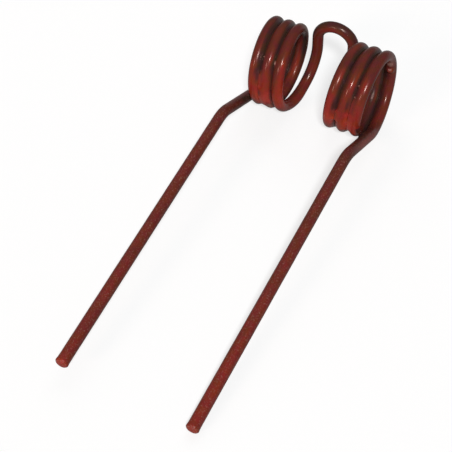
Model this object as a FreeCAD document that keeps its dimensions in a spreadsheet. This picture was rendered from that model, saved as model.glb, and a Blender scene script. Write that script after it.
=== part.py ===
import FreeCAD, Part

import math
import os

from FreeCAD import Base, Placement, Rotation, Vector
from Sketcher import Constraint

# Baler pick-up tine: one length of spring steel wire, in millimetres and degrees.
# From tip to tip the wire is a leg, its knee, a coil, the hairpin, the other coil
# (wound the other way round), its knee and its leg.
# It is drawn as it works, with the coils' common axis along X, the hairpin upright
# at their back and the legs reaching forwards, to -Y. Last, it is tipped about the
# coils' axis until it lies on a level surface, on its coils and on its lower tip.
# The origin is on the coils' axis, in the middle of the hairpin and so of the legs.

NODE = "spring_tine"

# Driving dimensions: name, value, what it measures
SIZES = [
    ("wire_diameter", 5.5, "diameter of the round wire"),
    ("tip_chamfer", 0.5, "chamfer round each cut end"),
    ("coil_diameter", 38.5, "diameter of the coils, at the middle of the wire"),
    ("whole_turns", 3, "whole turns of each coil, besides the part turn from its leg to the back"),
    ("left_gap", 0.8, "gap between the turns of the left coil"),
    ("right_gap", 1.3, "gap between the turns of the right coil"),
    ("lead_turn", 136.0, "last part of a coil's turning, in which the wire spreads to the hairpin"),
    ("left_spread", 4.05, "spread of the left lead along the axis"),
    ("right_spread", 2.57, "spread of the right lead along the axis"),
    ("limb_straight", 6.4, "straight of each hairpin limb above the coils' axis"),
    ("hairpin_radius", 9.3, "radius of the hairpin's bend, at the middle of the wire"),
    ("leg_rise", 31.5, "slope at which each leg climbs away from its coil"),
    ("root_bend", 70.0, "radius of the slight bend that squares each leg to the coils' axis"),
    ("leg_root", 29.4, "straight of each leg from its slight bend to its knee"),
    ("knee_radius", 20.0, "radius of the knees, at the middle of the wire"),
    ("left_knee", 28.5, "angle that the left leg turns down at its knee"),
    ("right_knee", 31.0, "angle that the right leg turns down at its knee"),
    ("leg_length", 148.6, "straight of each leg from its knee to its tip"),
    ("toe_in", 0.85, "angle at which each leg closes in towards the other"),
]

X_AXIS = Vector(1, 0, 0)
Z_AXIS = Vector(0, 0, 1)

# Ends and centre of a sketch's element, and the sketch's own level axis, which starts at its
# origin, and upright axis
START, END, CENTRE = 1, 2, 3
SKETCH_LEVEL, SKETCH_UPRIGHT = -1, -2

# Spacing of the points at which the lying wire is felt for its lowest place, and the
# range and the fineness of the search for its tilt
POINT_SPACING = 0.2
STEEPEST_TILT = 45.0
TILT_STEP = 1e-7


def make_sheet(doc):
    """The spreadsheet that holds the driving dimensions."""
    sheet = doc.addObject("Spreadsheet::Sheet", "Sizes")
    for row, (name, value, meaning) in enumerate(SIZES, start=1):
        sheet.set(f"A{row}", meaning)
        sheet.set(f"B{row}", str(value))
        sheet.setAlias(f"B{row}", name)
    doc.recompute()
    return sheet


def laid_along(x_direction, y_direction, base):
    """Placement that lays an object's own X and Y along two directions at right angles."""
    return Placement(base, Rotation(x_direction, y_direction, Vector(), "XYZ"))


def on_circle(degrees):
    """Unit vector in the YZ plane, at an angle from Y towards Z."""
    return Vector(0, math.cos(math.radians(degrees)), math.sin(math.radians(degrees)))


def make_coil_line(doc, sheet, name, side):
    """Middle line of one coil at its even pitch, from its leg round to the start of its lead.

    It winds down the front, under the axis and up the back, on its way in to the hairpin.
    """
    coil = doc.addObject("Part::Helix", f"{name}_coil_line")
    coil.LocalCoord = "Right-handed" if side < 0 else "Left-handed"
    part_turn = "(90 + Sizes.leg_rise - Sizes.lead_turn) / 360"
    coil.setExpression("Radius", "Sizes.coil_diameter / 2")
    coil.setExpression("Pitch", f"Sizes.wire_diameter + Sizes.{name}_gap")
    coil.setExpression("Height", f"Pitch * (Sizes.whole_turns + {part_turn})")
    doc.recompute()
    outwards = on_circle(-90 - sheet.leg_rise)
    inwards = Vector(-side, 0, 0)
    reach = coil.Height.Value + sheet.get(f"{name}_spread") + sheet.hairpin_radius
    coil.Placement = laid_along(outwards, inwards.cross(outwards), X_AXIS * (side * reach))
    doc.recompute()
    return coil


def leg_forwards(sheet, side):
    """Level direction in which a leg's upright plane reaches forwards, closing in by the toe-in."""
    toe_in = math.radians(sheet.toe_in)
    return Vector(-side * math.sin(toe_in), -math.cos(toe_in), 0)


def make_root_bend(doc, sheet, name, side, coil_line):
    """Slight bend from the coil's own slope along the axis into the leg's upright plane."""
    coil = coil_line.Shape.Edges[0]
    start = coil.valueAt(coil.FirstParameter)
    leaving = -coil.tangentAt(coil.FirstParameter)
    rise = math.radians(sheet.leg_rise)
    climbing = leg_forwards(sheet, side) * math.cos(rise) + Z_AXIS * math.sin(rise)
    turn = leaving.getAngle(climbing)
    sideways = (climbing - leaving * leaving.dot(climbing)).normalize()

    def on_bend(angle):
        return start + (leaving * math.sin(angle) + sideways * (1 - math.cos(angle))) * sheet.root_bend

    bend = doc.addObject("Part::Feature", f"{name}_root_bend")
    bend.Shape = Part.Arc(start, on_bend(turn / 2), on_bend(turn)).toShape()
    return bend, on_bend(turn)


def bind(sketch, constraint, expression):
    """Adds a dimension to a sketch and binds it to the spreadsheet."""
    index = sketch.addConstraint(constraint)
    sketch.setExpression(f"Constraints[{index}]", expression)


def make_leg_line(doc, sheet, name, side, root):
    """Middle line of one leg in its own upright plane, from its root over the knee to the tip."""
    sketch = doc.addObject("Sketcher::SketchObject", f"{name}_leg_line")
    sketch.Placement = laid_along(leg_forwards(sheet, side), Z_AXIS, root)

    rise = math.radians(sheet.leg_rise)
    knee = math.radians(sheet.get(f"{name}_knee"))
    knee_start = Vector(math.cos(rise), math.sin(rise), 0) * sheet.leg_root
    centre = knee_start + Vector(math.sin(rise), -math.cos(rise), 0) * sheet.knee_radius
    circle = Part.Circle(centre, Z_AXIS, sheet.knee_radius)
    knee_end = centre + Vector(-math.sin(rise - knee), math.cos(rise - knee), 0) * sheet.knee_radius
    tip = knee_end + Vector(math.cos(rise - knee), math.sin(rise - knee), 0) * sheet.leg_length
    upright = math.pi / 2
    first = sketch.addGeometry(Part.LineSegment(Vector(0, 0, 0), knee_start))
    bend = sketch.addGeometry(Part.ArcOfCircle(circle, upright + rise - knee, upright + rise))
    last = sketch.addGeometry(Part.LineSegment(knee_end, tip))

    sketch.addConstraint(Constraint("Coincident", first, START, SKETCH_LEVEL, START))
    sketch.addConstraint(Constraint("Tangent", first, END, bend, END))
    sketch.addConstraint(Constraint("Tangent", bend, START, last, START))
    bind(sketch, Constraint("Angle", first, rise), "Sizes.leg_rise * 1 deg")
    bind(sketch, Constraint("Distance", first, sheet.leg_root), "Sizes.leg_root")
    bind(sketch, Constraint("Radius", bend, sheet.knee_radius), "Sizes.knee_radius")
    bind(sketch, Constraint("Angle", bend, knee), f"Sizes.{name}_knee * 1 deg")
    bind(sketch, Constraint("Distance", last, sheet.leg_length), "Sizes.leg_length")
    doc.recompute()
    return sketch


def make_hairpin_line(doc, sheet):
    """Middle line of the hairpin: a limb that leaves the back of the coils upright, the bend, a limb."""
    sketch = doc.addObject("Sketcher::SketchObject", "hairpin_line")
    sketch.Placement = laid_along(X_AXIS, Z_AXIS, Vector(0, sheet.coil_diameter / 2, 0))
    radius = sheet.hairpin_radius
    limb = sheet.limb_straight
    circle = Part.Circle(Vector(0, limb, 0), Z_AXIS, radius)
    left = sketch.addGeometry(Part.LineSegment(Vector(-radius, 0, 0), Vector(-radius, limb, 0)))
    bend = sketch.addGeometry(Part.ArcOfCircle(circle, 0, math.pi))
    right = sketch.addGeometry(Part.LineSegment(Vector(radius, 0, 0), Vector(radius, limb, 0)))

    sketch.addConstraint(Constraint("Tangent", left, END, bend, END))
    sketch.addConstraint(Constraint("Tangent", right, END, bend, START))
    sketch.addConstraint(Constraint("Vertical", left))
    sketch.addConstraint(Constraint("Vertical", right))
    sketch.addConstraint(Constraint("PointOnObject", left, START, SKETCH_LEVEL))
    sketch.addConstraint(Constraint("PointOnObject", right, START, SKETCH_LEVEL))
    sketch.addConstraint(Constraint("PointOnObject", bend, CENTRE, SKETCH_UPRIGHT))
    bind(sketch, Constraint("Radius", bend, radius), "Sizes.hairpin_radius")
    bind(sketch, Constraint("Distance", left, limb), "Sizes.limb_straight")
    doc.recompute()
    return sketch


def make_lead_line(doc, sheet, name, side, coil_line):
    """Last part turn of a coil, which spreads along the axis to reach the limb of the hairpin.

    It is drawn on the coil's own cylinder, unrolled: across is the turn in radians and up is
    the way along the axis. It starts at the coil's pitch and ends square to the axis, at the
    back of the coils, where it points straight up.
    """
    cylinder = Part.Cylinder()
    cylinder.Radius = coil_line.Radius.Value
    coil_reach = coil_line.Height.Value
    limb_reach = coil_reach + sheet.get(f"{name}_spread")
    rate = coil_line.Pitch.Value / (2 * math.pi)
    coil_turn = coil_reach / rate
    third = math.radians(sheet.lead_turn) / 3
    curve = Part.Geom2d.BezierCurve2d()
    curve.setPoles([
        Base.Vector2d(-side * coil_turn, coil_reach),
        Base.Vector2d(-side * (coil_turn + third), coil_reach + rate * third),
        Base.Vector2d(-side * (coil_turn + 2 * third), limb_reach),
        Base.Vector2d(-side * (coil_turn + 3 * third), limb_reach),
    ])
    lead = doc.addObject("Part::Feature", f"{name}_lead_line")
    lead.Shape = curve.toShape(cylinder)
    lead.Placement = coil_line.Placement
    return lead


def tip_of(leg_line):
    """A leg's tip and the direction in which the wire points there."""
    knee_end, tip = sorted((vertex.Point for vertex in leg_line.Shape.Edges[-1].Vertexes), key=lambda p: -p.y)
    return tip, (tip - knee_end).normalize()


def make_section(doc, tip, direction):
    """Round section of the wire, square to it at one tip."""
    section = doc.addObject("Part::Circle", "wire_section")
    section.setExpression("Radius", "Sizes.wire_diameter / 2")
    section.Placement = Placement(tip, Rotation(Z_AXIS, direction))
    return section


def make_wire(doc, section, middle_line):
    """The section swept along the whole middle line, from tip to tip."""
    wire = doc.addObject("Part::Sweep", "bent_wire")
    wire.Sections = [section]
    edge_count = len(middle_line.Shape.Edges)
    wire.Spine = (middle_line, [f"Edge{number}" for number in range(1, edge_count + 1)])
    wire.Solid = True
    wire.Frenet = False
    doc.recompute()
    return wire


def make_cut_ends(doc, sheet, wire, tips):
    """The wire with a small chamfer round the rim of each cut end."""
    chamfered = doc.addObject("Part::Chamfer", NODE)
    chamfered.Base = wire
    size = sheet.tip_chamfer
    rims = [
        (number, size, size)
        for number, edge in enumerate(wire.Shape.Edges, start=1)
        if any(edge.isClosed() and edge.CenterOfMass.distanceToPoint(tip) < size / 2 for tip, _ in tips)
    ]
    chamfered.Edges = rims
    doc.recompute()
    return chamfered


def lying_tilt(sheet, middle_line, tips):
    """Angle about the coils' axis at which the coils and the lower tip come to one level.

    Under the coils the wire hangs its own radius below its middle line. At a tip the
    lowest place is on the chamfer's outer edge, square to the way the leg points.
    """
    radius = sheet.wire_diameter / 2
    halfway = min(tip.y for tip, _ in tips) / 2
    coil_points = [p for p in middle_line.Shape.discretize(Distance=POINT_SPACING) if p.y > halfway]
    least, most = -STEEPEST_TILT, STEEPEST_TILT
    while most - least > TILT_STEP:
        tilt = (least + most) / 2
        turn = Rotation(X_AXIS, tilt)
        coils_level = min(turn.multVec(point).z for point in coil_points) - radius
        tip_levels = []
        for tip, direction in tips:
            edge_centre = turn.multVec(tip - direction * sheet.tip_chamfer)
            pointing = turn.multVec(direction)
            tip_levels.append(edge_centre.z - radius * math.hypot(pointing.x, pointing.y))
        if min(tip_levels) > coils_level:
            least = tilt
        else:
            most = tilt
    return (least + most) / 2


def check(doc):
    """Stops if any object of the document failed."""
    for item in doc.Objects:
        assert not {"Invalid", "Error"} & set(item.State), f"{item.Name} failed: {item.State}"


doc = FreeCAD.newDocument("pickup_tine")
sheet = make_sheet(doc)

hairpin_line = make_hairpin_line(doc, sheet)
lines = [hairpin_line]
tips = []
for name, side in (("left", -1), ("right", 1)):
    coil_line = make_coil_line(doc, sheet, name, side)
    root_bend, root = make_root_bend(doc, sheet, name, side, coil_line)
    leg_line = make_leg_line(doc, sheet, name, side, root)
    lead_line = make_lead_line(doc, sheet, name, side, coil_line)
    lines += [coil_line, root_bend, leg_line, lead_line]
    tips.append(tip_of(leg_line))

middle_line = doc.addObject("Part::Feature", "middle_line")
middle_line.Shape = Part.Wire(Part.__sortEdges__([edge for line in lines for edge in line.Shape.Edges]))
wire = make_wire(doc, make_section(doc, *tips[0]), middle_line)
tine = make_cut_ends(doc, sheet, wire, tips)
tine.Placement = Placement(Vector(), Rotation(X_AXIS, lying_tilt(sheet, middle_line, tips)))
doc.recompute()

check(doc)
shape = tine.Shape
assert not shape.isNull() and shape.isValid() and len(shape.Solids) == 1, f"{NODE} is not one valid solid"
section_area = math.pi * (sheet.wire_diameter / 2) ** 2
length = middle_line.Shape.Length
tilt = math.degrees(tine.Placement.Rotation.Angle)
legs_apart = doc.right_coil_line.Placement.Base.x - doc.left_coil_line.Placement.Base.x
print(f"wire {length:.1f} mm long, legs {legs_apart:.1f} mm apart at the coils, tipped {tilt:.2f} degrees")
print(f"volume {shape.Volume:.0f}, section times length {section_area * length:.0f}")
print("box", shape.optimalBoundingBox(True, False))

os.makedirs("parts", exist_ok=True)
shape.exportStep(f"parts/{tine.Label}.step")
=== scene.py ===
# %% [markdown]
# A baler pick-up tine is one long piece of spring wire. Two straight legs comb the hay, each leg ends
# in a close coil, and a narrow hairpin joins the two coils. The imported model gives the size and the
# place of everything, so it is loaded first, and its box is kept for the wire's sizes, the floor's
# height and the skin's limits.

import math

import bpy
import numpy as np
from mathutils import Matrix, Vector


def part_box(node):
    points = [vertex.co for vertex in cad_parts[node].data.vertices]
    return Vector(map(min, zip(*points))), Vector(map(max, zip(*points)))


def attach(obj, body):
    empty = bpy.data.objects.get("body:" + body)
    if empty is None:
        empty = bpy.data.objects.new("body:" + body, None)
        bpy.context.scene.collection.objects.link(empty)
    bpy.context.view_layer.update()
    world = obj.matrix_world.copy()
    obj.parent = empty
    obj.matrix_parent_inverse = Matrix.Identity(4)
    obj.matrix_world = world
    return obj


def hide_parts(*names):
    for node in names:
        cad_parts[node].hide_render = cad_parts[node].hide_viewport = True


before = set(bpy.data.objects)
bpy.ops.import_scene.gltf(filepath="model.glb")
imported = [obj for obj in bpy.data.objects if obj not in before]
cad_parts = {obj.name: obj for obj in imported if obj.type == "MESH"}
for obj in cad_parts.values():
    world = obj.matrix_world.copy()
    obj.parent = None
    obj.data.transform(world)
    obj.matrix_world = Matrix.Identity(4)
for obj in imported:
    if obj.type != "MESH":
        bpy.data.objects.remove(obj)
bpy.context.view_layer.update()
tine_low, tine_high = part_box("spring_tine")
print("the tine fills", [round(1000 * side, 2) for side in tine_high - tine_low], "mm")

# %% [markdown]
# The wire could be drawn as a curve with a round bevel, but lacquer that fills the gaps between the
# turns can't be drawn that way. So the wire's line is worked out as points, and a skin is laid round
# them afterwards. These are the sizes that a spring maker would set on the coiling machine.

# %% Sizes of the wire
MM = 0.001
WIRE_RADIUS = 5.5 * MM / 2
COIL_RADIUS = tine_high.z - WIRE_RADIUS
COIL_START_X = 32.0 * MM  # from the middle of the tine to where a coil starts
LEG_RISE = math.radians(31.5)  # how steeply the root climbs from the coil to the knee
LEAD_TURN = math.radians(136)  # how far round the coil the lead goes
WHOLE_TURNS = 3
HAIRPIN_RADIUS = 9.3 * MM
LIMB_STRAIGHT = 6.4 * MM  # upright, below the hairpin's bend
ROOT_BEND = 70 * MM  # a radius
ROOT_STRAIGHT = 29.4 * MM
KNEE_RADIUS = 20 * MM
LEG_STRAIGHT = 148.6 * MM
TOE_IN = math.radians(0.85)
TIPPED = math.radians(7.2476)  # as the tine lies on its coils and one tip
PITCH = {"left": 6.3 * MM, "right": 6.8 * MM}
KNEE_TURN = {"left": math.radians(28.5), "right": math.radians(31.0)}
TIP_CHAMFER = 0.5 * MM
print("the coils' mean radius is", round(COIL_RADIUS / MM, 2), "mm")

# %% [markdown]
# Each half of the wire is drawn the same way: coil, lead, upright limb and a quarter of the hairpin
# in one direction, and the leg in the other. Angles round the coil are counted from the back (+Y)
# over the top. The half is drawn on the left, and the right one is its mirror image.

# %% The coil and the lead that spreads to the hairpin
FINE = 0.25 * MM
COIL_START = -math.pi / 2 - LEG_RISE
COIL_END = 2 * math.pi * WHOLE_TURNS - LEAD_TURN
LEAD_END = 2 * math.pi * WHOLE_TURNS


def coil_and_lead(pitch):
    """Points along the coil and its lead, and the angle round the coil at each."""
    steps = int((LEAD_END - COIL_START) * COIL_RADIUS / FINE)
    angle = np.linspace(COIL_START, LEAD_END, steps)
    slope = pitch / (2 * math.pi)
    x = -COIL_START_X + slope * (angle - COIL_START)
    start_x = -COIL_START_X + slope * (COIL_END - COIL_START)
    end_x = -HAIRPIN_RADIUS
    # The lead sets off with the coil's own slope and ends square to the axis, under the hairpin.
    u = np.clip((angle - COIL_END) / LEAD_TURN, 0, 1)
    spread = ((2 * u**3 - 3 * u**2 + 1) * start_x + (u**3 - 2 * u**2 + u) * slope * LEAD_TURN
              + (3 * u**2 - 2 * u**3) * end_x)
    x = np.where(angle > COIL_END, spread, x)
    points = np.stack([x, COIL_RADIUS * np.cos(angle), COIL_RADIUS * np.sin(angle)], 1)
    return points, angle


# %% Straight runs and bends
def run(start, direction, length):
    """Points along a straight run, without its first one."""
    steps = max(2, int(length / FINE))
    return start + np.outer(np.linspace(0, length, steps)[1:], direction)


def bend(start, direction, inward, turn, radius):
    """Points along a bend towards the unit vector inward, without the first, and the new direction."""
    steps = max(4, int(turn * radius / FINE))
    a = np.linspace(0, turn, steps)[1:, None]
    points = start + radius * (np.sin(a) * direction + (1 - np.cos(a)) * inward)
    return points, math.cos(turn) * direction + math.sin(turn) * inward


def leg(coil_point, pitch, knee_turn):
    """Points along one leg from the coil to the tip: root bend, root, knee and long straight."""
    angle = COIL_START
    slope = pitch / (2 * math.pi)
    leaving = -np.array([slope, -COIL_RADIUS * math.sin(angle), COIL_RADIUS * math.cos(angle)])
    leaving /= np.linalg.norm(leaving)
    forwards = np.array([math.sin(TOE_IN), -math.cos(TOE_IN), 0.0])
    upwards = np.array([0.0, 0.0, 1.0])
    root = forwards * math.cos(LEG_RISE) + upwards * math.sin(LEG_RISE)
    below_root = forwards * math.sin(LEG_RISE) - upwards * math.cos(LEG_RISE)
    sideways = root - leaving * (leaving @ root)
    first_turn = math.acos(min(1.0, leaving @ root))
    root_bend, _ = bend(coil_point, leaving, sideways / np.linalg.norm(sideways), first_turn, ROOT_BEND)
    root_run = run(root_bend[-1], root, ROOT_STRAIGHT)
    knee, outwards = bend(root_run[-1], root, below_root, knee_turn, KNEE_RADIUS)
    long_run = run(knee[-1], outwards, LEG_STRAIGHT)
    return np.concatenate([root_bend, root_run, knee, long_run])


# %% One half of the wire, from the tip to the top of the hairpin
def half_wire(side):
    """Points of one half in the lying position, and the angle round the coil (nan off the coil)."""
    pitch = PITCH[side]
    coil, angle = coil_and_lead(pitch)
    leg_points = leg(coil[0], pitch, KNEE_TURN[side])[::-1]
    up = np.array([0.0, 0.0, 1.0])
    limb = run(coil[-1], up, LIMB_STRAIGHT)
    inward = np.array([1.0, 0.0, 0.0])
    shoulder, _ = bend(limb[-1], up, inward, math.pi / 2, HAIRPIN_RADIUS)
    points = np.concatenate([leg_points, coil, limb, shoulder])
    angles = np.concatenate([np.full(len(leg_points), np.nan), angle,
                             np.full(len(limb) + len(shoulder), np.nan)])
    c, s = math.cos(TIPPED), math.sin(TIPPED)
    tipped = points @ np.array([[1, 0, 0], [0, c, s], [0, -s, c]])
    if side == "right":
        tipped = tipped * np.array([-1.0, 1.0, 1.0])
    return tipped, angles


left_points, left_angles = half_wire("left")
right_points, right_angles = half_wire("right")
wire_points = np.concatenate([left_points, right_points[::-1][1:]])
coil_angles = np.concatenate([left_angles, right_angles[::-1][1:]])
steps = np.linalg.norm(np.diff(wire_points, axis=0), axis=1)
wire_run = np.concatenate([[0.0], np.cumsum(steps)])
WIRE_LENGTH = wire_run[-1]
HALF_LENGTH = wire_run[len(left_points) - 1]
print("the wire is", round(WIRE_LENGTH / MM, 1), "mm long")

# %% [markdown]
# The skin is a ring of points round the wire at each station. Stations stand closer on the coils,
# where lacquer has to flow from turn to turn, and wider on the straight legs. The rings are carried
# along without twist, so that the skin's faces stay square.

# %% Stations along the wire
COIL_STEP = 0.5 * MM
LEG_STEP = 1.0 * MM
TIP_STEP = 0.3 * MM
TIP_ZONE = 6 * MM
AROUND = 44

leg_length = wire_run[np.flatnonzero(~np.isnan(left_angles))[0]]
from_end = np.minimum(wire_run, WIRE_LENGTH - wire_run)
step_here = np.where(from_end < leg_length - 6 * MM, LEG_STEP, COIL_STEP)
step_here = np.where(from_end < TIP_ZONE, TIP_STEP, step_here)
count = np.concatenate([[0.0], np.cumsum(np.diff(wire_run) / step_here[1:])])
stations = np.interp(np.linspace(0, count[-1], int(count[-1])), count, wire_run)


def along(values):
    """Values given at the wire's fine points, read at the stations."""
    return np.interp(stations, wire_run, values)


centres = np.stack([along(wire_points[:, k]) for k in range(3)], 1)
nearest_fine = np.clip(np.searchsorted(wire_run, stations), 0, len(wire_run) - 1)
station_angle = coil_angles[nearest_fine]
on_left = stations <= HALF_LENGTH
tangents = np.gradient(centres, stations, axis=0)
tangents /= np.linalg.norm(tangents, axis=1)[:, None]
print(len(stations), "stations,", 2 * len(stations) * AROUND, "triangles")

# %% Directions round each station
side_ways = np.zeros_like(centres)
first = np.cross(tangents[0], [0.0, 0.0, 1.0])
side_ways[0] = first / np.linalg.norm(first)
for i in range(1, len(centres)):
    carried = side_ways[i - 1] - tangents[i] * (side_ways[i - 1] @ tangents[i])
    side_ways[i] = carried / np.linalg.norm(carried)
top_ways = np.cross(tangents, side_ways)
round_angle = np.arange(AROUND) * 2 * math.pi / AROUND
outward = (side_ways[:, None, :] * np.cos(round_angle)[None, :, None]
           + top_ways[:, None, :] * np.sin(round_angle)[None, :, None])
print(AROUND, "directions round the wire at each station")

# %% [markdown]
# The real tine was dipped in lacquer and hung up to drain. The lacquer is thin on the wire and runs
# together at the bottom of the coils, where it bridges the gap with a smooth web. The walls of the
# narrow gaps between the turns get painted shade. For that, each station looks for the turn beside it.

# %% Unevenness along the wire
def noise_along(seed, length):
    """Smooth random values along the stations, about -1 to 1, with waves of about that length."""
    places = int(WIRE_LENGTH / length) + 4
    values = np.random.default_rng(seed).uniform(-1, 1, places)
    at = stations / length
    i = at.astype(int)
    u = at - i
    u = u * u * (3 - 2 * u)
    return values[i] * (1 - u) + values[i + 1] * u


# %% Find the turn beside each station
APART = 25 * MM  # two stations this far apart along the wire are on different turns
BESIDE = 9 * MM  # a turn farther away than this is no neighbour
FAR = 1.0  # stands for none beside
ROOT_ZONE = 30 * MM  # the part of a leg that may lie beside its coil
LAST_CLOSE_TURN = 3.0
turn_number = (station_angle - COIL_START) / (2 * math.pi)
past_coil = (np.nan_to_num(turn_number, nan=0) > LAST_CLOSE_TURN) | (
    np.isnan(station_angle) & (centres[:, 2] > 0))


def neighbours(direction):
    """For each station, the unit vector to the turn beside it in +X or -X, and how far it is."""
    unit = np.zeros_like(centres)
    distance = np.full(len(centres), FAR)
    for i, centre in enumerate(centres):
        if past_coil[i] or (np.isnan(station_angle[i]) and abs(centre[1]) > ROOT_ZONE):
            continue
        away = centres - centre
        reach = np.linalg.norm(away, axis=1)
        fits = (np.abs(stations - stations[i]) > APART) & (reach < BESIDE) & ~past_coil
        fits &= away[:, 0] * direction > 0
        if fits.any():
            j = np.flatnonzero(fits)[np.argmin(reach[fits])]
            flat = away[j] - tangents[i] * (away[j] @ tangents[i])
            distance[i] = np.linalg.norm(flat)
            unit[i] = flat / distance[i]
    return unit, distance


beside = {way: neighbours(way) for way in (-1, 1)}
print("stations with a turn on both sides:",
      int(((beside[-1][1] < BESIDE) & (beside[1][1] < BESIDE)).sum()))

# %% [markdown]
# Everything uneven on the coils is given by its place: the side, the turn with its fraction, counted
# from the leg's end, and the degrees across the wire, counted from outward towards the right. A
# picture could be wrapped round the wire instead, but places in plain numbers are easy to change.

# %% Places on the skin
coil_outward = centres * np.array([0.0, 1.0, 1.0])
coil_outward /= np.linalg.norm(coil_outward, axis=1)[:, None]
across = np.degrees(np.arctan2(outward[:, :, 0], np.einsum("ijk,ik->ij", outward, coil_outward)))


def off(angle):
    """Degrees from that angle across the wire: 0 is outward from the coil, 90 is towards +X."""
    return (across - angle + 180) % 360 - 180


def bump(x):
    """A smooth hill: 1 at 0, 0 from 1 on."""
    x = np.clip(np.abs(x), 0, 1)
    return (1 - x * x) ** 2


def spot(side, turn, angle, half_turn, half_angle):
    """A smooth round spot on the skin, 1 in its middle and 0 from its edge on."""
    here = on_left if side == "left" else ~on_left
    lengthways = bump((np.nan_to_num(turn_number, nan=-9) - turn) / half_turn) * here
    return lengthways[:, None] * bump(off(angle) / half_angle)


# %% [markdown]
# In the gaps between the turns stands a thin film, well below the tops of the wires. Low in front the
# lacquer ran together into pools that nearly reach the tops, and a few small drops hang higher up in
# the seams. Each line of the table lifts the web's height over a short stretch of one gap.

# %% Where the lacquer has run together
FILM = 0.85  # half the height of the thin film in mm
FILM_ROUGH = 0.12
FILM_WAVE = 2.5 * MM
FILM_SEED = 17
FLAT_TOPPED = 1.4  # above 1 the pools are level in the middle
LACQUER_POOLS = (
    # side, turn of the outer wire, half length in turns, half height in mm
    ("left", 0.865, 0.092, 2.50),
    ("left", 1.990, 0.060, 1.50),
    ("right", 0.850, 0.076, 2.45),
    ("right", 2.000, 0.060, 1.50),
    ("right", 1.830, 0.038, 2.15),
    ("left", 0.800, 0.070, 1.90),
    ("right", 0.790, 0.085, 1.70),
    ("left", 0.695, 0.006, 1.25),
    ("left", 1.706, 0.018, 1.25),
    ("right", 0.690, 0.006, 1.25),
    ("right", 0.733, 0.006, 1.25),
)
rough_edge = noise_along(FILM_SEED, FILM_WAVE) * FILM_ROUGH


def web_height(way):
    """Half the height of the lacquer web in the gap towards +X or -X at each station, in metres."""
    inner = np.where(on_left, way, -way) > 0
    outer_turn = np.nan_to_num(np.where(inner, turn_number, turn_number - 1), nan=-9)
    height = FILM + rough_edge
    for side, middle, half, tall in LACQUER_POOLS:
        here = on_left if side == "left" else ~on_left
        hill = np.clip(FLAT_TOPPED * bump((outer_turn - middle) / half) ** 0.5, 0, 1)
        height = np.where(here, np.maximum(height, tall * hill + rough_edge), height)
    return height * MM


print(len(LACQUER_POOLS), "places where the lacquer stands higher than the film")


# %% [markdown]
# Liquid between two rods makes a hollow web with smooth edges. That shape is the smooth sum of two
# round wires, so each skin point is moved out along its own ray, halving the step each time, until it
# meets that sum, but never past the middle of the gap. Joining two meshes would cut sharp edges.

# %% Skin of lacquer: out to the web where there is one
FARTHEST_OUT = 2.2 * WIRE_RADIUS
HALVINGS = 22
FACING = 0.05  # directions that turn less than this towards the neighbour never reach it
OVERLAP = 0.01 * MM


def skin_radius():
    """Distance of each skin point from the wire's line."""
    radius = np.full(outward.shape[:2], WIRE_RADIUS)
    for way, (unit, distance) in beside.items():
        towards = np.einsum("ijk,ik->ij", outward, unit)
        apart = distance[:, None]
        usual = np.where(on_left, PITCH["left"], PITCH["right"])
        amount = 4 * (np.sqrt(web_height(way)**2 + (usual / 2)**2) - WIRE_RADIUS)[:, None]
        middle = np.where(towards > FACING, apart / 2 / np.maximum(towards, FACING) + OVERLAP, FAR)
        low = np.full(radius.shape, WIRE_RADIUS)
        high = np.minimum(FARTHEST_OUT, np.maximum(middle, WIRE_RADIUS))
        for _ in range(HALVINGS):
            r = (low + high) / 2
            own = r - WIRE_RADIUS
            other = np.sqrt(np.maximum(r * r - 2 * r * apart * towards + apart**2, 0)) - WIRE_RADIUS
            # The two distances blend where they are nearly the same. Below zero is inside.
            blend = np.maximum(amount - np.abs(own - other), 0) / np.maximum(amount, 1e-9)
            inside = np.minimum(own, other) - blend**2 * amount / 4 < 0
            low = np.where(inside, r, low)
            high = np.where(inside, high, r)
        fits = (towards > 0) & (apart < BESIDE)
        radius = np.maximum(radius, np.where(fits, low, 0))
    return radius


radius = skin_radius()
print("the webs stand out by up to", round((radius.max() - WIRE_RADIUS) / MM, 2), "mm")

# %% [markdown]
# A large drop dried high up inside the right coil, each turn has a small lip below, where the last
# lacquer hung, and the left lead has a long sag. The tips were the lowest points of the tine and carry
# a little more. Slight waves everywhere keep the highlights from looking machined.

# %% Drops, lips and waves in the lacquer
LUMPS = (
    # side, turn, degrees across, half length in turns, half width in degrees, height in mm
    ("right", 0.351, 170, 0.0190, 52, 1.45),
    ("left", 2.207, 176, 0.0160, 60, 0.07),
    ("left", 1.845, 20, 0.020, 40, 0.12),
    ("left", 0.930, 30, 0.034, 50, 0.42),
    ("left", 1.938, 45, 0.030, 50, 0.42),
    ("left", 3.050, 112, 0.110, 80, 0.78),
    ("right", 0.900, 5, 0.030, 50, 0.40),
    ("right", 1.903, 10, 0.030, 50, 0.32),
)
WAVES = 0.018 * MM
SHORTEST_WAVE = 3.1  # mm
WAVE_STEP = 0.7  # mm longer on each next side
WAVY_SIDES = 4
WAVE_SEED = 40
TIP_BEAD = 0.20 * MM
TIP_BEAD_LENGTH = 1.6 * MM


def lumps():
    """How far the drops and lips push the skin out, in metres."""
    return sum(height * MM * spot(*place) for *place, height in LUMPS)


def waves():
    """Slight waves in the lacquer, different on four sides of the wire."""
    out = np.zeros(outward.shape[:2])
    for k in range(WAVY_SIDES):
        lobe = np.clip(np.cos(round_angle - k * math.pi / 2), 0, 1)
        wave = noise_along(WAVE_SEED + k, (SHORTEST_WAVE + WAVE_STEP * k) * MM)
        out += lobe[None, :] * wave[:, None]
    return out * WAVES


from_tip = np.minimum(stations, WIRE_LENGTH - stations)
tip_bead = TIP_BEAD * np.exp(-(from_tip / TIP_BEAD_LENGTH)**2)
radius = radius + lumps() + waves() + tip_bead[:, None]
print("the drops, lips and waves add up to", round(float((lumps() + waves()).max()) / MM, 2), "mm")
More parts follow.
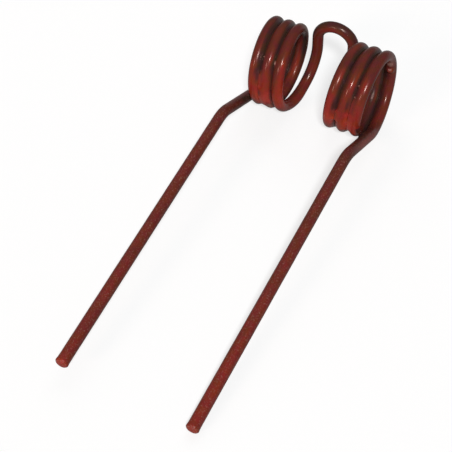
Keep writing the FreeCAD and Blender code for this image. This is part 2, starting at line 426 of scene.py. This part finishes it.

# %% [markdown]
# What the finish needs to know is kept on the skin's points as plain numbers. The main one is how thick
# the lacquer is, from 0, where the steel is bare, to 1, where it has pooled, and it also carries
# painted light and shade. The lacquer ran down to the bottom of the coils and to the tips, and the
# walls beside each gap are darkened as painted shade.

# %% Smooth step
def ease(x, start, end):
    """0 before start, 1 after end, and smooth between them."""
    u = np.clip((x - start) / (end - start), 0, 1)
    return u * u * (3 - 2 * u)


# %% [markdown]
# Each turn is made darker over its top and brighter low in front. On the legs the coat grows towards
# the tips, partly thicker lacquer and partly painted light, and dips near the knees as painted shade.
# The side of a turn that faces the gap on its right is darkened as painted shade, and the outer side of
# the leads and the hairpin is made darker. On the outside of each root a run of lacquer stayed.

# %% How the lacquer lies
COATED = (
    # part of a turn from the leg's side, thickness: the top is at 0.59, the front at 0.84
    (0.00, 0.36), (0.10, 0.42), (0.22, 0.40), (0.38, 0.34), (0.48, 0.31),
    (0.62, 0.31), (0.70, 0.35), (0.78, 0.54), (0.85, 0.76), (0.93, 0.74), (1.00, 0.36),
)
PLAIN_COAT = 0.40
PLAIN_FROM, PLAIN_FULLY = 2.95, 3.10  # the turns between which the coil's coat becomes plain
LEG_COAT_AND_PAINTED_LIGHT = {
    # mm from the tip, thickness: the rise towards the tips is partly painted light, and the dip near
    # the knees is painted shade
    "left": ((0, 0.62), (5, 0.47), (30, 0.44), (75, 0.41), (134, 0.38), (154, 0.34), (175, 0.30),
             (196, 0.36)),
    "right": ((0, 0.57), (22, 0.56), (45, 0.48), (75, 0.42), (105, 0.39), (134, 0.34), (154, 0.27),
              (175, 0.24), (196, 0.34)),
}
ROOT_RUN = 178 * MM  # from the tip
ROOT_RUN_REACH = 26 * MM
ROOT_RUN_EXTRA = 0.30
ROOT_RUN_LESS = 0.12


def coat_and_painted_light():
    """Thickness of the lacquer by the place along the wire, and on the roots by the side, with painted
    light and shade on the legs.
    """
    part = np.nan_to_num(turn_number % 1.0, nan=0.0)
    on_coil = np.interp(part, [p for p, _ in COATED], [t for _, t in COATED])
    becomes_plain = ease(np.nan_to_num(turn_number, nan=0), PLAIN_FROM, PLAIN_FULLY)
    on_coil = on_coil + (PLAIN_COAT - on_coil) * becomes_plain
    on_leg = [np.interp(from_tip / MM, *zip(*LEG_COAT_AND_PAINTED_LIGHT[side])) for side in ("left", "right")]
    on_leg = np.where(on_left, on_leg[0], on_leg[1])
    off_coil = np.where(centres[:, 1] < 0, on_leg, PLAIN_COAT)
    plain = np.where(np.isnan(station_angle), off_coil, on_coil)[:, None]
    root = np.isnan(station_angle) & (centres[:, 1] < 0)
    root = root * bump((from_tip - ROOT_RUN) / ROOT_RUN_REACH)
    outside = np.where(on_left[:, None], -outward[:, :, 0], outward[:, :, 0])
    uneven = ROOT_RUN_EXTRA * ease(outside, 0.2, 0.8) - ROOT_RUN_LESS * ease(-outside, -0.2, 0.6)
    return plain + root[:, None] * uneven


# %% Painted shade on the walls beside the gaps
GAP_WALLS = {
    # turn by turn: how many degrees the dark wall reaches, and the part of the turn where it ends
    "left": ((64, 0.76), (50, 0.75), (40, 0.78)),
    "right": ((42, 0.78), (44, 0.78), (48, 0.80)),
}
WALL_ENDS = 0.05  # half the part of a turn in which a wall ends
WALL_STARTS = 0.08
LAST_SHADED_TURN = 2.9
WALL_WAVE = 6 * MM
WALL_SEED = 23
WALL_ROUGH = 9  # degrees
WALL_INNER, WALL_OUTER = 22, 12  # degrees over which the wall's edge fades


def gap_wall_shade():
    """How much painted shade darkens the walls that face a gap in +X, 0 to 1."""
    part = np.nan_to_num(turn_number, nan=-1.0)
    turn = np.clip(part.astype(int), 0, 2)
    walls = [np.array(GAP_WALLS[side])[turn] for side in ("left", "right")]
    walls = np.where(on_left[:, None], *walls)
    reach = walls[:, 0] + WALL_ROUGH * noise_along(WALL_SEED, WALL_WAVE)
    has_gap = beside[1][1] < BESIDE
    high_up = 1 - ease(part % 1.0, walls[:, 1] - WALL_ENDS, walls[:, 1] + WALL_ENDS)
    high_up = high_up * (part < LAST_SHADED_TURN)
    wall = 1 - ease(np.abs(off(90)), (reach - WALL_INNER)[:, None], (reach + WALL_OUTER)[:, None])
    return wall * (has_gap * high_up * ease(part, 0.0, WALL_STARTS))[:, None]


# %% The outer side of the leads and the hairpin
OUTER_LESS = 0.26
OUTER_FROM, OUTER_FULLY = 3.0, 3.12  # the turns between which the outer side begins to darken


def outer_side():
    """How much darker the outer side of the leads and the hairpin is made, as thickness taken off."""
    up = np.array([0.0, -math.sin(TIPPED), math.cos(TIPPED)])
    from_middle = centres - (left_points[-1] - HAIRPIN_RADIUS * up)
    below = (from_middle @ up < 0)[:, None]
    away = np.where(below, from_middle * np.array([1.0, 0.0, 0.0]), from_middle)
    away /= np.linalg.norm(away, axis=1)[:, None]
    facing = ease(np.einsum("ijk,ik->ij", outward, away), 0.25, 0.95)
    beyond_all_turns = WHOLE_TURNS + 1
    turns = np.where(past_coil, np.nan_to_num(turn_number, nan=beyond_all_turns), 0)
    return OUTER_LESS * facing * ease(turns, OUTER_FROM, OUTER_FULLY)[:, None]


# %% Pools and seams
POOL_DEPTH = (0.05 * MM, 0.5 * MM)
FILM_SHOWS = (1.1, 1.9)  # half heights in mm between which a film becomes a pool


def pooled_lacquer():
    """How much a skin point lies in a pool of lacquer, 0 to 1."""
    return ease(radius - WIRE_RADIUS, *POOL_DEPTH)


def deep_in_gap():
    """How deep a skin point lies in the seam between two turns, 0 to 1."""
    deep = np.zeros(outward.shape[:2])
    for way, (unit, distance) in beside.items():
        towards = np.einsum("ijk,ik->ij", outward, unit)
        open_gap = 1 - ease(web_height(way) / MM, *FILM_SHOWS)[:, None]
        deep = np.maximum(deep, ease(towards, 0.78, 0.96) * open_gap * (distance[:, None] < BESIDE))
    return deep


print("skin points in a pool:", int((pooled_lacquer() > 0.5).sum()))

# %% [markdown]
# As it ran, the lacquer left darker and redder stains. Random spots alone would look like any other
# tine, so the stains that can be seen in the photograph are listed by their places, as soft round spots
# that add to the thickness or take from it. Some of the spots are painted light and shade: painted
# shade inside the coils, in the dark bands between the turns and beside the large drop, and painted
# light and highlights on a few turns.

# %% Stains that the lacquer left as it ran, with painted light and shade
STAINS_AND_PAINTED_LIGHT = (
    # side, turn, degrees across, half length in turns, half width in degrees, change of thickness
    # painted shade in the gap beside the first left turn
    ("left", 0.775, 50, 0.070, 22, -0.32),
    ("left", 0.670, 35, 0.045, 60, 0.18),
    ("left", 0.735, -30, 0.022, 30, 0.20),
    ("left", 0.755, 26, 0.026, 22, -0.22),
    ("left", 0.860, 75, 0.090, 50, 0.22),
    ("left", 0.925, 15, 0.045, 45, -0.38),
    ("left", 1.740, -55, 0.090, 55, -0.16),
    ("left", 1.800, -45, 0.050, 35, 0.12),
    ("left", 1.835, -42, 0.022, 24, -0.42),
    ("left", 1.700, 35, 0.030, 35, 0.20),
    ("left", 1.795, 92, 0.080, 42, 0.60),
    ("left", 1.890, 72, 0.034, 42, 0.45),
    ("left", 1.850, 40, 0.045, 50, 0.22),
    ("left", 1.865, 0, 0.035, 50, 0.15),
    ("left", 1.900, 80, 0.060, 45, 0.15),
    ("left", 1.925, 35, 0.045, 45, -0.38),
    # painted shade inside the left coil, this line and the next
    ("left", 2.120, 110, 0.100, 45, -0.18),
    ("left", 2.120, 178, 0.050, 45, -0.10),
    ("left", 2.200, 180, 0.120, 35, 0.06),
    # painted highlight inside the left coil, this line and the next
    ("left", 2.204, 176, 0.036, 44, 0.22),
    ("left", 2.260, 165, 0.060, 40, 0.18),
    # painted shade inside the left coil
    ("left", 2.330, 137, 0.180, 45, -0.44),
    ("left", 2.660, 40, 0.060, 35, 0.12),
    # painted highlight at the third left turn's highlight
    ("left", 2.705, 30, 0.022, 30, 0.24),
    ("left", 2.760, 45, 0.120, 60, 0.18),
    ("left", 2.760, -30, 0.080, 55, -0.17),
    # painted light on the right side of the last left turn
    ("left", 2.830, 98, 0.110, 50, 0.55),
    ("left", 2.930, 20, 0.040, 45, -0.25),
    ("left", 3.090, -172, 0.060, 50, -0.10),
    ("left", 3.190, -170, 0.030, 60, -0.20),
    ("right", 0.190, -135, 0.130, 45, -0.26),
    # painted shade in the hollow beside the large drop
    ("right", 0.318, -140, 0.035, 45, -0.30),
    ("right", 0.367, 168, 0.025, 50, 0.05),
    ("right", 0.415, 155, 0.040, 60, 0.30),
    ("right", 0.465, 105, 0.050, 50, 0.16),
    ("right", 0.685, 0, 0.040, 50, 0.24),
    ("right", 0.740, 100, 0.050, 30, -0.26),
    ("right", 0.750, -55, 0.080, 55, -0.20),
    ("right", 0.910, -10, 0.035, 45, -0.30),
    ("right", 0.985, 95, 0.060, 50, -0.18),
    # painted shade inside the right coil, this line and the next
    ("right", 1.120, 150, 0.320, 90, -0.16),
    ("right", 1.205, 180, 0.080, 35, -0.26),
    ("right", 1.210, 125, 0.060, 30, 0.24),
    ("right", 1.675, 62, 0.065, 46, 0.44),
    # painted highlight round the middle right turn's highlight
    ("right", 1.695, 12, 0.030, 40, 0.16),
    ("right", 1.700, -58, 0.130, 55, -0.18),
    # painted shade in a dark band between the right turns
    ("right", 1.765, 42, 0.040, 32, -0.34),
    ("right", 1.850, 60, 0.060, 60, 0.05),
    ("right", 1.825, -66, 0.030, 36, -0.26),
    ("right", 1.862, 8, 0.040, 50, 0.14),
    ("right", 1.915, 25, 0.035, 45, -0.30),
    ("right", 2.550, 10, 0.070, 60, 0.10),
    ("right", 2.680, 30, 0.045, 60, 0.28),
    # painted shade in a dark band between the right turns
    ("right", 2.790, 42, 0.045, 34, -0.42),
    ("right", 2.800, 0, 0.090, 60, 0.16),
    ("right", 2.862, 58, 0.034, 44, 0.60),
    ("right", 2.838, 82, 0.034, 30, -0.24),
    ("right", 2.850, -10, 0.050, 60, 0.20),
    ("right", 2.915, -10, 0.035, 45, -0.30),
)


def stains_and_painted_light():
    """Change of thickness by the stains and by the painted light and shade at each skin point."""
    return sum(amount * spot(*place) for *place, amount in STAINS_AND_PAINTED_LIGHT)


print(len(STAINS_AND_PAINTED_LIGHT), "stains_and_painted_light")

# %% [markdown]
# The bottom of each turn, where the coils stand, is made pale as a painted reflection of the floor.
# Pale spots are painted highlights: on the small drops in the seams, on and round the large drop inside
# the right coil, inside the coils and beside some of the turns' highlights. The legs are a little dull
# all over. A share below about a half only dulls the lacquer, and more brings out pale specks.

# %% Scuffs, wear and painted highlights
SCUFFS_AND_PAINTED_HIGHLIGHTS = (
    # side, turn, degrees across, half length in turns, half width in degrees, how much
    # painted reflection of the floor: pale at the bottom of each turn
    ("left", 0.925, 15, 0.045, 50, 0.68),
    ("left", 1.920, 32, 0.050, 52, 0.74),
    ("left", 2.930, 20, 0.040, 50, 0.50),
    ("right", 0.910, -10, 0.040, 50, 0.56),
    ("right", 1.915, 25, 0.040, 50, 0.56),
    ("right", 2.915, -10, 0.040, 50, 0.60),
    ("left", 0.697, 9, 0.0400, 45, 0.20),
    # painted sheen on the dark band beside the first left turn's highlight
    ("left", 0.700, 55, 0.0350, 34, 0.50),
    # painted highlights: pale spots in the seams, on and round the large drop, and inside the coils
    ("left", 1.695, -66, 0.0065, 26, 0.95),
    ("left", 2.203, 176, 0.0330, 42, 0.46),
    ("left", 2.706, -70, 0.0230, 30, 0.95),
    ("right", 0.690, -66, 0.0065, 26, 0.95),
    ("right", 0.733, -66, 0.0065, 26, 0.95),
    ("right", 0.362, 170, 0.0110, 34, 0.85),
    ("right", 0.410, 165, 0.0500, 70, 1.05),
    ("right", 1.190, 168, 0.0300, 32, 0.66),
    ("right", 0.690, 5, 0.0400, 45, 0.08),
    ("right", 2.685, 15, 0.0400, 45, 0.24),
    # painted highlight low on a turn of the right coil
    ("right", 2.850, -28, 0.0300, 35, 0.62),
)
LEG_WEAR = 0.40


def scuffs_and_painted_highlights():
    """How pale the coils are made, 0 to 1: dulled places, painted highlights and a painted reflection
    of the floor.
    """
    return np.max([most * spot(*place) for *place, most in SCUFFS_AND_PAINTED_HIGHLIGHTS], axis=0)


def combed():
    """How much hay and handling have dulled the legs, 0 to 1."""
    leg_part = np.isnan(station_angle) & (centres[:, 1] < 0)
    return LEG_WEAR * (leg_part * ease(leg_length - from_tip, -2 * MM, 8 * MM))[:, None]


print(len(SCUFFS_AND_PAINTED_HIGHLIGHTS), "scuffed places")

# %% [markdown]
# All of this comes together in one number for each skin point. The painted shade on the gap walls takes
# its share from the coat, what pooled adds to it, and the seams between the turns are darkened as
# painted shade. The places along and round the wire are kept too, so that streaks and grain can run
# with the wire and not across it.

# %% Put the thickness together
# Shares of painted shade on the gap walls and in the seams, and what the pools add.
WALL_SHADE_LOSS = 0.72
POOL_GAIN = 0.10
SEAM_SHADE = 0.75

wall_shade = gap_wall_shade()
pooled = pooled_lacquer()
# The gap walls get their painted shade here, and the coat and the stains also carry painted light and
# shade.
lacquer_and_painted_light = (coat_and_painted_light() + stains_and_painted_light() - outer_side()) * (1 - WALL_SHADE_LOSS * wall_shade)
lacquer_and_painted_light = lacquer_and_painted_light + POOL_GAIN * pooled * (1 - wall_shade)
# Painted shade deep in the seams between the turns.
lacquer_and_painted_light = np.clip(lacquer_and_painted_light * (1 - SEAM_SHADE * deep_in_gap()), 0, 1)
flow = np.stack([np.repeat(stations[:, None], AROUND, 1),
                 np.tile(WIRE_RADIUS * np.cos(round_angle), (len(stations), 1)),
                 np.tile(WIRE_RADIUS * np.sin(round_angle), (len(stations), 1))], 2)
print("drained share of the skin", round(float((wall_shade > 0.5).mean()), 3))
print("thickness on average", round(float(lacquer_and_painted_light.mean()), 3))

# %% [markdown]
# The skin itself is one mesh. Its two ends are sawn flat with a small chamfer, and the lacquer has
# left a low dome on each, so each end gets a few extra rings and a centre point. The solid's size
# already has the lacquer on it, so every point is kept inside the solid's box.

# %% Lay the skin and close its ends
CHAMFERED_RINGS = 4


def chamfered_ends(points):
    """The rings nearest the ends drawn in to the chamfer."""
    for end, inward_step in ((0, 1), (-1, -1)):
        for k in range(CHAMFERED_RINGS):
            i = end + k * inward_step
            to_end = abs(stations[i] - stations[end])
            cut = max(0.0, TIP_CHAMFER - to_end)
            points[i] = centres[i] + outward[i] * (radius[i][:, None] - cut)
    return points


points = chamfered_ends(centres[:, None, :] + outward * radius[:, :, None])
points = np.clip(points, tine_low, tine_high)
print("the skin spans", np.ptp(points.reshape(-1, 3), axis=0).round(4).tolist(), "m")

# %% The two sawn ends
END_RINGS = (
    # mm that the dome stands out, mm in from the edge, how rubbed
    (0.07, 0.62, 0.64),
    (0.15, 0.90, 0.42),
    (0.22, 1.40, 0.42),
    (0.25, 2.00, 0.42),
)
DOME_HEIGHT = 0.26  # mm
DOME_RUBBED = 0.30
END_THICKNESS = 0.78
RIM_RUBBED = 0.45
RIM = (0.1 * MM, 0.9 * MM)  # how far from the tip the rubbed rim is whole, and where it ends


def end_cap(end, sign):
    """Rings over a flat sawn end, the outermost first, then the centre."""
    rings = []
    for out, inset, _ in END_RINGS:
        ring = centres[end] + outward[end] * (radius[end][:, None] - inset * MM)
        ring = ring + sign * tangents[end] * out * MM
        rings.append(np.clip(ring, tine_low, tine_high))
    return rings, centres[end] + sign * tangents[end] * DOME_HEIGHT * MM


rim = RIM_RUBBED * (1 - ease(from_tip, *RIM))[:, None]
wear_and_painted_sheen = np.maximum(np.maximum(rim, combed()), scuffs_and_painted_highlights())


# %% The mesh and its numbers
SHARP_EDGE = math.radians(40)


def wire_mesh():
    """The skin as one closed mesh, with its numbers for the finish on its points."""
    count = len(stations)
    verts = [points.reshape(-1, 3)]
    lacquer_and_light = [lacquer_and_painted_light.reshape(-1)]
    wear_and_sheen = [wear_and_painted_sheen.reshape(-1)]
    flows = [flow.reshape(-1, 3)]
    faces = []
    here = np.arange(AROUND)
    onward = (here + 1) % AROUND
    for i in range(count - 1):
        a, b = i * AROUND, (i + 1) * AROUND
        faces += np.stack([a + here, a + onward, b + onward, b + here], 1).tolist()
    total = count * AROUND
    for end, sign in ((0, -1), (count - 1, 1)):
        rings, centre = end_cap(end, sign)
        last = end * AROUND
        for ring, (_, _, ring_rubbed) in zip(rings, END_RINGS):
            verts.append(ring)
            lacquer_and_light.append(np.full(AROUND, END_THICKNESS))
            wear_and_sheen.append(np.full(AROUND, ring_rubbed))
            flows.append(flow[end])
            pair = np.stack([last + here, last + onward, total + onward, total + here], 1)
            faces += (pair if sign > 0 else pair[:, ::-1]).tolist()
            last, total = total, total + AROUND
        verts.append(centre[None])
        lacquer_and_light.append(np.array([END_THICKNESS]))
        wear_and_sheen.append(np.array([DOME_RUBBED]))
        flows.append(np.array([[stations[end], 0, 0]]))
        fan = np.stack([last + here, last + onward, np.full(AROUND, total)], 1)
        faces += (fan if sign > 0 else fan[:, ::-1]).tolist()
        total += 1
    mesh = bpy.data.meshes.new("wire")
    mesh.from_pydata(np.concatenate(verts).tolist(), [], faces)
    for name, values in (("lacquer_and_painted_light", lacquer_and_light), ("wear_and_painted_sheen", wear_and_sheen)):
        attribute = mesh.attributes.new(name, "FLOAT", "POINT")
        attribute.data.foreach_set("value", np.concatenate(values).astype(np.float32))
    attribute = mesh.attributes.new("flow", "FLOAT_VECTOR", "POINT")
    attribute.data.foreach_set("vector", np.concatenate(flows).astype(np.float32).ravel())
    mesh.shade_smooth()
    mesh.set_sharp_from_angle(angle=SHARP_EDGE)
    mesh.update()
    return mesh


wire = bpy.data.objects.new("lacquered_wire", wire_mesh())
bpy.context.scene.collection.objects.link(wire)
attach(wire, "root")
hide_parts("spring_tine")
print("the skin has", len(wire.data.vertices), "points")

# %% [markdown]
# The finish is one material: dark spring steel under a red-brown lacquer. Where the lacquer is thin the
# steel makes it nearly black and dull, and where it has pooled it is a bright glossy red. The thickness
# chooses the colour, with streaks along the wire, patches and fine grain added to it, and as it also
# carries the painted light and shade set on the skin, so does the colour. A glass-like layer over steel
# would be closer to the real thing, but is slow and noisy to render.

# %% Helpers for the finish
def new_node(tree, kind, **settings):
    """A node of that kind, with the settings given by name."""
    node = tree.nodes.new(kind)
    for name, value in settings.items():
        setattr(node, name, value)
    return node


def ramp(tree, source, stops):
    """A colour ramp fed by source. stops are (position, colour)."""
    node = tree.nodes.new("ShaderNodeValToRGB")
    elements = node.color_ramp.elements
    while len(elements) < len(stops):
        elements.new(0.5)
    for element, (position, colour) in zip(elements, stops):
        element.position = position
        element.color = (*colour, 1)
    tree.links.new(source, node.inputs["Fac"])
    return node.outputs["Color"]


def noise(tree, vector, scale, detail=2.0, roughness=0.5):
    """Noise of that scale at vector, as a value from 0 to 1."""
    node = new_node(tree, "ShaderNodeTexNoise")
    node.inputs["Scale"].default_value = scale
    node.inputs["Detail"].default_value = detail
    node.inputs["Roughness"].default_value = roughness
    tree.links.new(vector, node.inputs["Vector"])
    return node.outputs["Fac"]


def sums(tree, operation, first, second, third=None):
    """A sum of numbers or sockets, by a Math node."""
    node = new_node(tree, "ShaderNodeMath", operation=operation)
    for socket, value in zip(node.inputs, (first, second, third)):
        if value is None:
            continue
        if isinstance(value, (int, float)):
            socket.default_value = value
        else:
            tree.links.new(value, socket)
    return node.outputs["Value"]


def swing(tree, value, amount):
    """A value from 0 to 1 made to swing by half that amount to both sides of zero."""
    return sums(tree, "MULTIPLY_ADD", value, amount, -amount / 2)


def mix(tree, blend, factor, first, second):
    """Two colours mixed by a factor, or the first multiplied by the second."""
    node = new_node(tree, "ShaderNodeMix", data_type="RGBA", blend_type=blend)
    for index, value in ((0, factor), (6, first), (7, second)):
        if isinstance(value, (int, float, tuple)):
            node.inputs[index].default_value = value
        else:
            tree.links.new(value, node.inputs[index])
    return node.outputs[2]


# %% [markdown]
# The colours run from bare steel to a deep pool. A slow change of hue from warm to crimson lies over
# them, as in the photograph. Rubbed places and the painted highlights and reflection get pale specks
# first, where a fine noise is high, and close up as the share grows. The gloss is sharper where the
# lacquer is thick.

# %% Colours and gloss of the lacquer
LACQUER_COLOURS = (
    # thickness, colour
    (0.00, (0.036, 0.020, 0.017)),
    (0.11, (0.064, 0.025, 0.020)),
    (0.27, (0.112, 0.026, 0.020)),
    (0.42, (0.175, 0.030, 0.020)),
    (0.72, (0.300, 0.031, 0.018)),
    (1.00, (0.460, 0.055, 0.032)),
)
WARM_TO_CRIMSON = ((0.39, (1.0, 1.0, 0.66)), (0.61, (0.96, 0.74, 1.0)))
PALE_WEAR_AND_SHEEN_COLOUR = (0.42, 0.22, 0.18, 1)
SPECKS_FROM = 0.95
SPECK_CONTRAST = 2.2
NOISES = {
    # how fine, and how many finer layers are added
    "streaks": (620, 3.0),
    "patches": (150, 3.0),
    "grain": (800, 2.0),
    "hue": (300, 3.0),
    "specks": (1500, 2.0),
    "ripple": (900, 2.0),
}
PATCHES_BROKEN = 0.6
STREAK_STRETCH = 0.12
STREAKS, PATCHES, GRAIN = 0.44, 0.64, 0.30
THICK_UNEVEN, THIN_UNEVEN = 0.8, 0.15
SHINIEST = 0.16
THIN_ROUGH = 0.25
THICK_SMOOTHS = -0.26
PATCH_ROUGH = 0.12
RUBBED_ROUGH = 0.30


# %% Lacquer over steel
def lacquer_finish():
    """Dark spring steel seen through a red-brown lacquer of uneven thickness, with painted light and
    shade in its colour.
    """
    material = bpy.data.materials.new("dip_lacquer")
    material.use_nodes = True
    tree = material.node_tree
    shader = tree.nodes["Principled BSDF"]
    lacquer_and_light = new_node(tree, "ShaderNodeAttribute", attribute_name="lacquer_and_painted_light").outputs["Fac"]
    wear_and_painted_sheen = new_node(tree, "ShaderNodeAttribute", attribute_name="wear_and_painted_sheen").outputs["Fac"]
    flow_node = new_node(tree, "ShaderNodeAttribute", attribute_name="flow").outputs["Vector"]
    streak_space = new_node(tree, "ShaderNodeMapping")
    streak_space.inputs["Scale"].default_value = (STREAK_STRETCH, 1.0, 1.0)
    tree.links.new(flow_node, streak_space.inputs["Vector"])
    streaks = noise(tree, streak_space.outputs["Vector"], *NOISES["streaks"])
    patches = noise(tree, flow_node, *NOISES["patches"], PATCHES_BROKEN)
    grain = noise(tree, flow_node, *NOISES["grain"])
    uneven = sums(tree, "ADD", swing(tree, streaks, STREAKS), swing(tree, patches, PATCHES))
    uneven = sums(tree, "ADD", uneven, swing(tree, grain, GRAIN))
    # A thick coat is more uneven than bare steel.
    share = sums(tree, "MULTIPLY_ADD", lacquer_and_light, THICK_UNEVEN, THIN_UNEVEN)
    uneven_lacquer_and_light = sums(tree, "MULTIPLY_ADD", uneven, share, lacquer_and_light)
    colour = ramp(tree, uneven_lacquer_and_light, LACQUER_COLOURS)
    hue = ramp(tree, noise(tree, flow_node, *NOISES["hue"]), WARM_TO_CRIMSON)
    colour = mix(tree, "MULTIPLY", 1.0, colour, hue)
    specks = noise(tree, flow_node, *NOISES["specks"])
    pale_amount = sums(tree, "SUBTRACT", sums(tree, "ADD", wear_and_painted_sheen, specks), SPECKS_FROM)
    pale_share = sums(tree, "MULTIPLY", pale_amount, SPECK_CONTRAST)
    pale_share.node.use_clamp = True
    colour = mix(tree, "MIX", pale_share, colour, PALE_WEAR_AND_SHEEN_COLOUR)
    tree.links.new(colour, shader.inputs["Base Color"])
    dull = sums(tree, "MULTIPLY_ADD", uneven_lacquer_and_light, THICK_SMOOTHS, THIN_ROUGH)
    dull = sums(tree, "MULTIPLY_ADD", patches, PATCH_ROUGH, dull)
    dull = sums(tree, "MULTIPLY_ADD", wear_and_painted_sheen, RUBBED_ROUGH, sums(tree, "MAXIMUM", dull, SHINIEST))
    tree.links.new(dull, shader.inputs["Roughness"])
    shader.inputs["Specular IOR Level"].default_value = 0.28
    shader.inputs["Specular Tint"].default_value = (1.0, 0.78, 0.70, 1)
    shader.inputs["Coat Weight"].default_value = 0.06
    shader.inputs["Coat Roughness"].default_value = 0.32
    bump_node = new_node(tree, "ShaderNodeBump")
    bump_node.inputs["Strength"].default_value = 0.10
    bump_node.inputs["Distance"].default_value = 0.0001
    tree.links.new(noise(tree, flow_node, *NOISES["ripple"]), bump_node.inputs["Height"])
    tree.links.new(bump_node.outputs["Normal"], shader.inputs["Normal"])
    return material


wire.data.materials.append(lacquer_finish())
print("the finish has", len(wire.data.materials[0].node_tree.nodes), "nodes")

# %% [markdown]
# The tine lies on a plain pale floor. It has a little light of its own for the eye, so that it is
# white without strong lamps, and hardly any in gloss, where a white floor would make the wire's
# underside grey. It keeps the soft shadow.

# %% White for the eye
GLOSS_SHARE = 0.03


def white_for_the_eye(tree):
    """1 for what the eye sees, also through glass, and a small share for what gloss mirrors."""
    seen = new_node(tree, "ShaderNodeLightPath").outputs
    direct = sums(tree, "MULTIPLY_ADD", seen["Is Glossy Ray"], GLOSS_SHARE, seen["Is Camera Ray"])
    return sums(tree, "ADD", direct, seen["Is Transmission Ray"])


# %% Floor
FLOOR_SIZE = 12.0
FLOOR_GAP = 0.2 * MM
FLOOR_HEIGHT = tine_low.z - FLOOR_GAP
FLOOR_LIGHT = 0.70
bpy.ops.mesh.primitive_circle_add(vertices=96, radius=FLOOR_SIZE, fill_type="NGON",
                                  location=(0, 0, FLOOR_HEIGHT))
floor = bpy.context.object
floor.name = "floor"


def floor_finish():
    """White board: plain diffuse colour, and for the eye a little light of its own."""
    material = bpy.data.materials.new("pale_floor")
    material.use_nodes = True
    tree = material.node_tree
    shader = tree.nodes["Principled BSDF"]
    shader.inputs["Base Color"].default_value = (0.358, 0.361, 0.363, 1)
    shader.inputs["Roughness"].default_value = 1.0
    shader.inputs["Specular IOR Level"].default_value = 0.0
    shader.inputs["Emission Color"].default_value = (1, 1, 1, 1)
    own_light = sums(tree, "MULTIPLY", white_for_the_eye(tree), FLOOR_LIGHT)
    tree.links.new(own_light, shader.inputs["Emission Strength"])
    return material


floor.data.materials.append(floor_finish())
print("the floor lies at", round(FLOOR_HEIGHT / MM, 2), "mm")

# %% [markdown]
# The highlights on the coils show where the photograph's light came from: a bright lamp beside the
# camera and a weaker warm one low on the left. A wide soft lamp behind lights the back and the floor,
# and is left out of the gloss. A dim room fills the rest. The eye sees it as white, like the floor,
# so that a view from low down shows no dark wall behind the floor's edge.

# %% Lamps
LAMPS = (
    # name, azimuth, elevation and width in degrees, strength, colour, mirrored in gloss
    ("key_lamp", 25, 44.5, 8, 2.25, (1.0, 1.0, 1.0), True),
    ("side_lamp", -21, 24, 14, 0.62, (1.0, 0.76, 0.64), True),
    ("back_lamp", 200, 42, 60, 0.65, (1.0, 1.0, 1.0), False),
)


def towards(azimuth, elevation):
    """Unit vector from the tine to something at that azimuth and elevation."""
    return Vector((math.sin(azimuth) * math.cos(elevation), -math.cos(azimuth) * math.cos(elevation),
                   math.sin(elevation)))


def add_lamp(name, azimuth, elevation, width, strength, colour, in_gloss):
    """A far soft lamp, width being the angle that it fills."""
    data = bpy.data.lights.new(name, "SUN")
    data.energy = strength
    data.angle = math.radians(width)
    data.color = colour
    lamp = bpy.data.objects.new(name, data)
    direction = towards(math.radians(azimuth), math.radians(elevation))
    lamp.rotation_euler = direction.to_track_quat("Z", "Y").to_euler()
    lamp.visible_glossy = in_gloss
    bpy.context.scene.collection.objects.link(lamp)


for lamp in LAMPS:
    add_lamp(*lamp)
print("lamps:", [name for name, *_ in LAMPS])

# %% The room
ROOM_LIGHT = 0.11


def dim_room():
    """A grey room that the eye sees as white."""
    world = bpy.data.worlds.new("room")
    world.use_nodes = True
    tree = world.node_tree
    background = tree.nodes["Background"]
    background.inputs["Color"].default_value = (1, 1, 1, 1)
    strength = sums(tree, "MULTIPLY_ADD", white_for_the_eye(tree), 1 - ROOM_LIGHT, ROOM_LIGHT)
    tree.links.new(strength, background.inputs["Strength"])
    return world


bpy.context.scene.world = dim_room()

# %% [markdown]
# The camera stands where the photograph was taken from. Its place was found by laying the tine's
# drawn outline over the photograph until both agreed.

# %% Camera
CAMERA_PLACE = Vector((140.2, -422.75, 372.31)) * MM
CAMERA_AZIMUTH = math.radians(23.865)
CAMERA_ELEVATION = math.radians(47.437)
CAMERA_ROLL = math.radians(-2.347)
PICTURE_WIDTH = 452
FOCAL_PIXELS = 1175.36
SENSOR = 36.0

camera_data = bpy.data.cameras.new("camera")
camera_data.sensor_width = SENSOR
camera_data.lens = FOCAL_PIXELS / PICTURE_WIDTH * SENSOR
camera_data.clip_start = 0.01
camera_data.clip_end = 50
camera = bpy.data.objects.new("camera", camera_data)
looking = -towards(CAMERA_AZIMUTH, CAMERA_ELEVATION)
level = Vector((math.cos(CAMERA_AZIMUTH), math.sin(CAMERA_AZIMUTH), 0))
down = looking.cross(level)
right = math.cos(CAMERA_ROLL) * level + math.sin(CAMERA_ROLL) * down
down = -math.sin(CAMERA_ROLL) * level + math.cos(CAMERA_ROLL) * down
turn = Matrix((right, -down, -looking)).transposed()
camera.matrix_world = Matrix.Translation(CAMERA_PLACE) @ turn.to_4x4()
bpy.context.scene.collection.objects.link(camera)
bpy.context.scene.camera = camera
bpy.context.scene.view_settings.view_transform = "Standard"
print("the camera has a lens of", round(camera_data.lens, 1), "mm")
